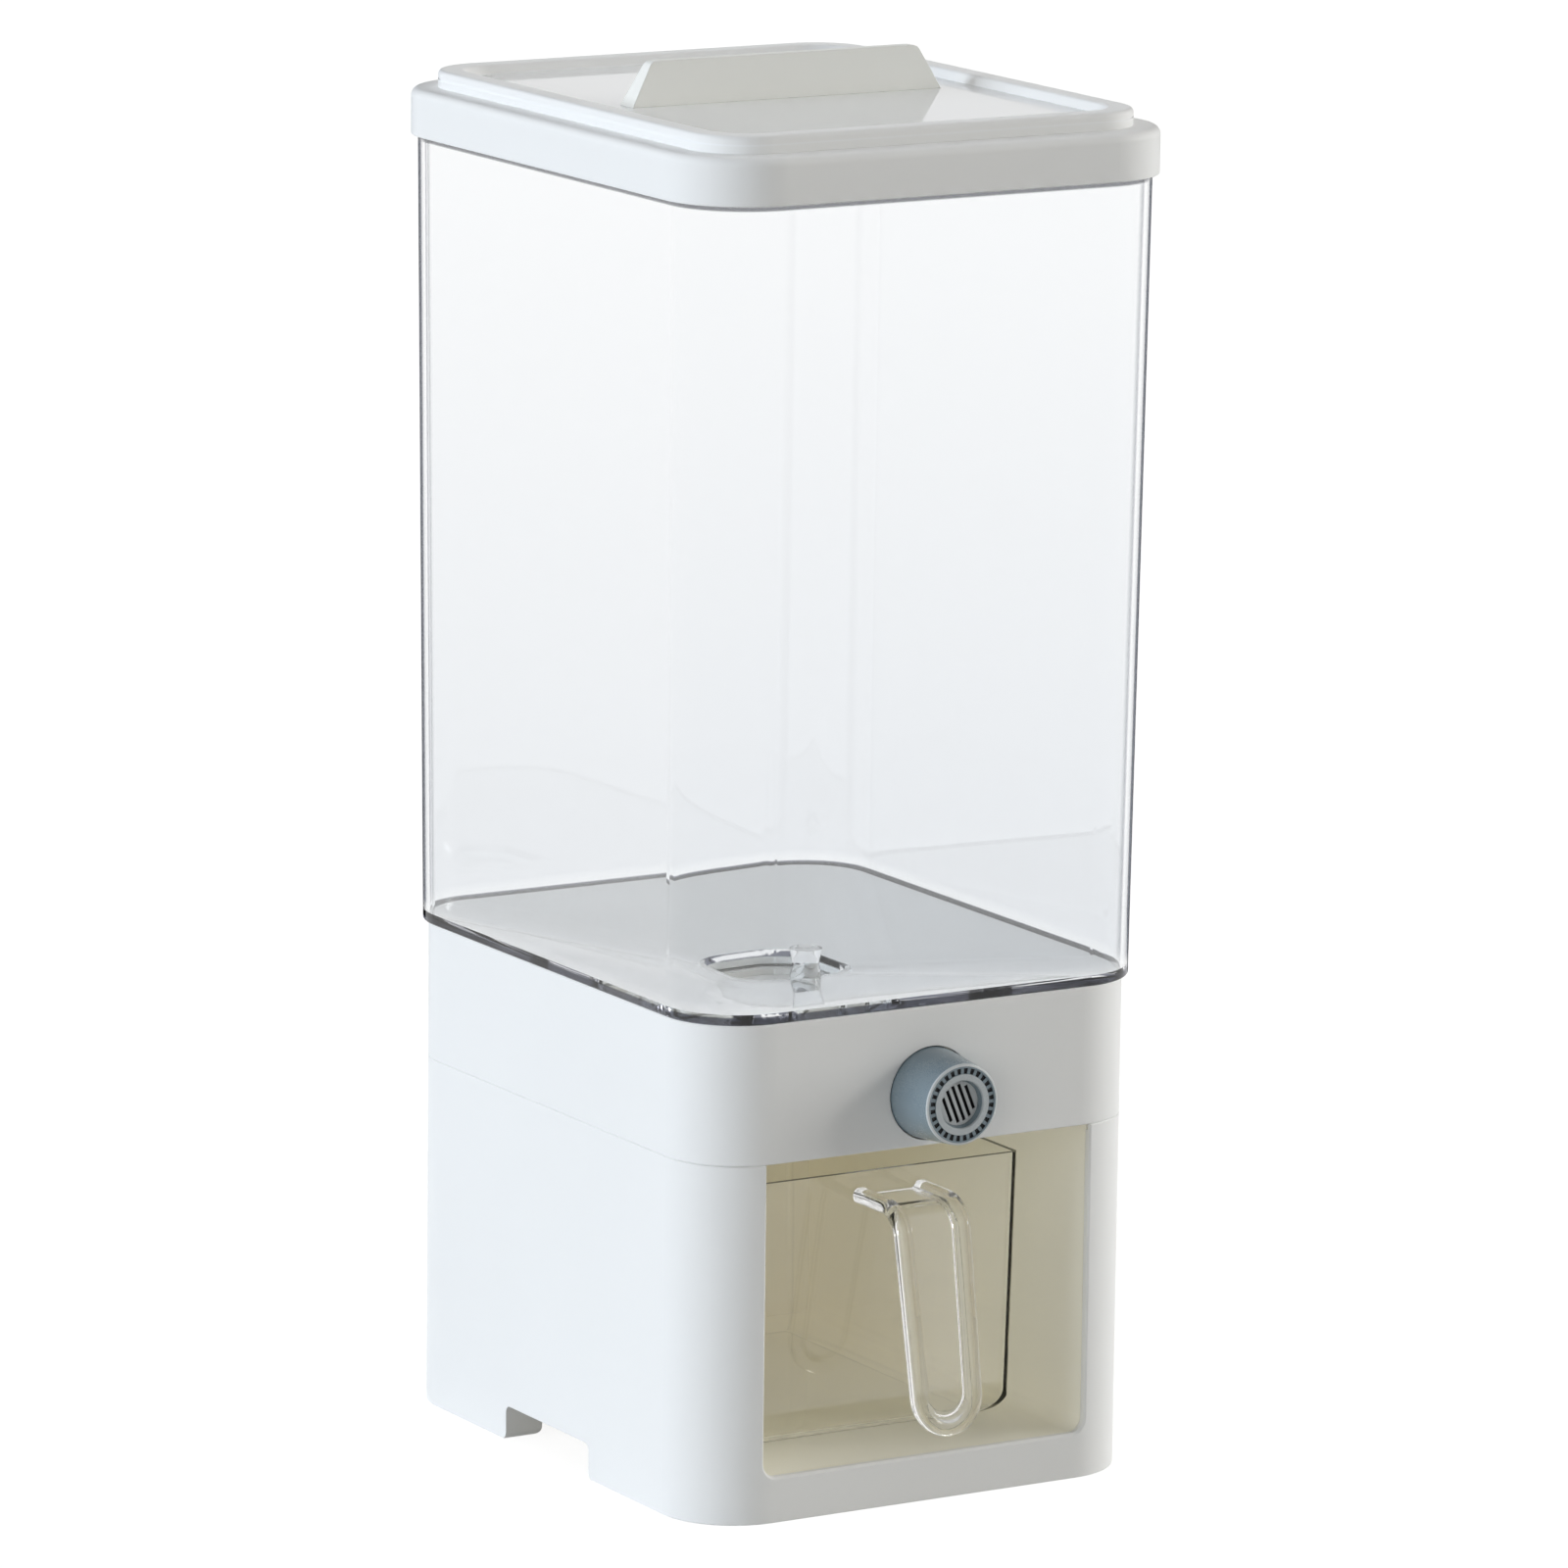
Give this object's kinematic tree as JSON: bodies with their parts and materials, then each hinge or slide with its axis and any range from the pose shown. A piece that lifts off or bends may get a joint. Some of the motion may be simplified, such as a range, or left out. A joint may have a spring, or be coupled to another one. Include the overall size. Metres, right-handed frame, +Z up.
{
  "type": "rice dispenser with drawer",
  "caption": "Upright rice dispenser: clear hopper with a funnel floor, push-button slide gate, lift-off lid and a clear measuring cup that pulls out of a bay in the base",
  "frame": {"origin": "centre of the overall box's footprint, on the table under the feet", "axes": "+Z up, +X to the right seen from the front, +Y to the rear: the button and the cup face -Y"},
  "size_m": [0.1884, 0.2398, 0.4845],
  "materials": {
    "white_plastic": "satin white moulded plastic",
    "cream_plastic": "satin cream moulded plastic",
    "inner_plastic": "plain white moulded plastic, unseen inside",
    "clear_plastic": "clear polished plastic",
    "grey_plastic": "satin grey moulded plastic",
    "grey_insert": "matt light grey moulded plastic",
    "silicone": "soft translucent white silicone",
    "steel": "zinc-plated steel"
  },
  "bodies": {
    "base": {"base_cabinet": "white_plastic", "bay_liner": "cream_plastic", "collar_shell": "white_plastic", "collar_floor": "cream_plastic", "gate_housing": "inner_plastic", "gate_cover": "inner_plastic", "outlet_seal": "silicone", "outlet_chute": "inner_plastic", "spring_bracket": "inner_plastic", "base_screws": "steel", "gate_screws": "steel", "chute_screws": "steel", "bracket_screws": "steel"},
    "button": {"button_cap": "grey_plastic", "button_insert": "grey_insert", "push_rod": "inner_plastic", "rod_clip": "steel", "gate_slide": "inner_plastic", "return_spring": "steel"},
    "hopper": {"hopper_tank": "clear_plastic"},
    "lid": {"lid_cover": "white_plastic", "lid_seal": "silicone", "lid_grip": "white_plastic"},
    "cup": {"measuring_cup": "clear_plastic", "cup_handle": "clear_plastic"}
  },
  "joints": [
    {"name": "button_press", "type": "slide", "parent": "base", "child": "button", "axis": [0, 1, 0], "range_m": [0, 0.017], "stiffness_N_per_m": 300, "springref_m": -0.008, "deforming": ["return_spring"]},
    {"name": "cup_pull", "type": "slide", "parent": "base", "child": "cup", "axis": [0, -1, 0], "range_m": [0, 0.16]},
    {"name": "hopper_lift", "type": "slide", "parent": "base", "child": "hopper", "axis": [0, 0, 1], "range_m": [0, 0.04]},
    {"name": "lid_lift", "type": "slide", "parent": "hopper", "child": "lid", "axis": [0, 0, 1], "range_m": [0, 0.06]}
  ]
}
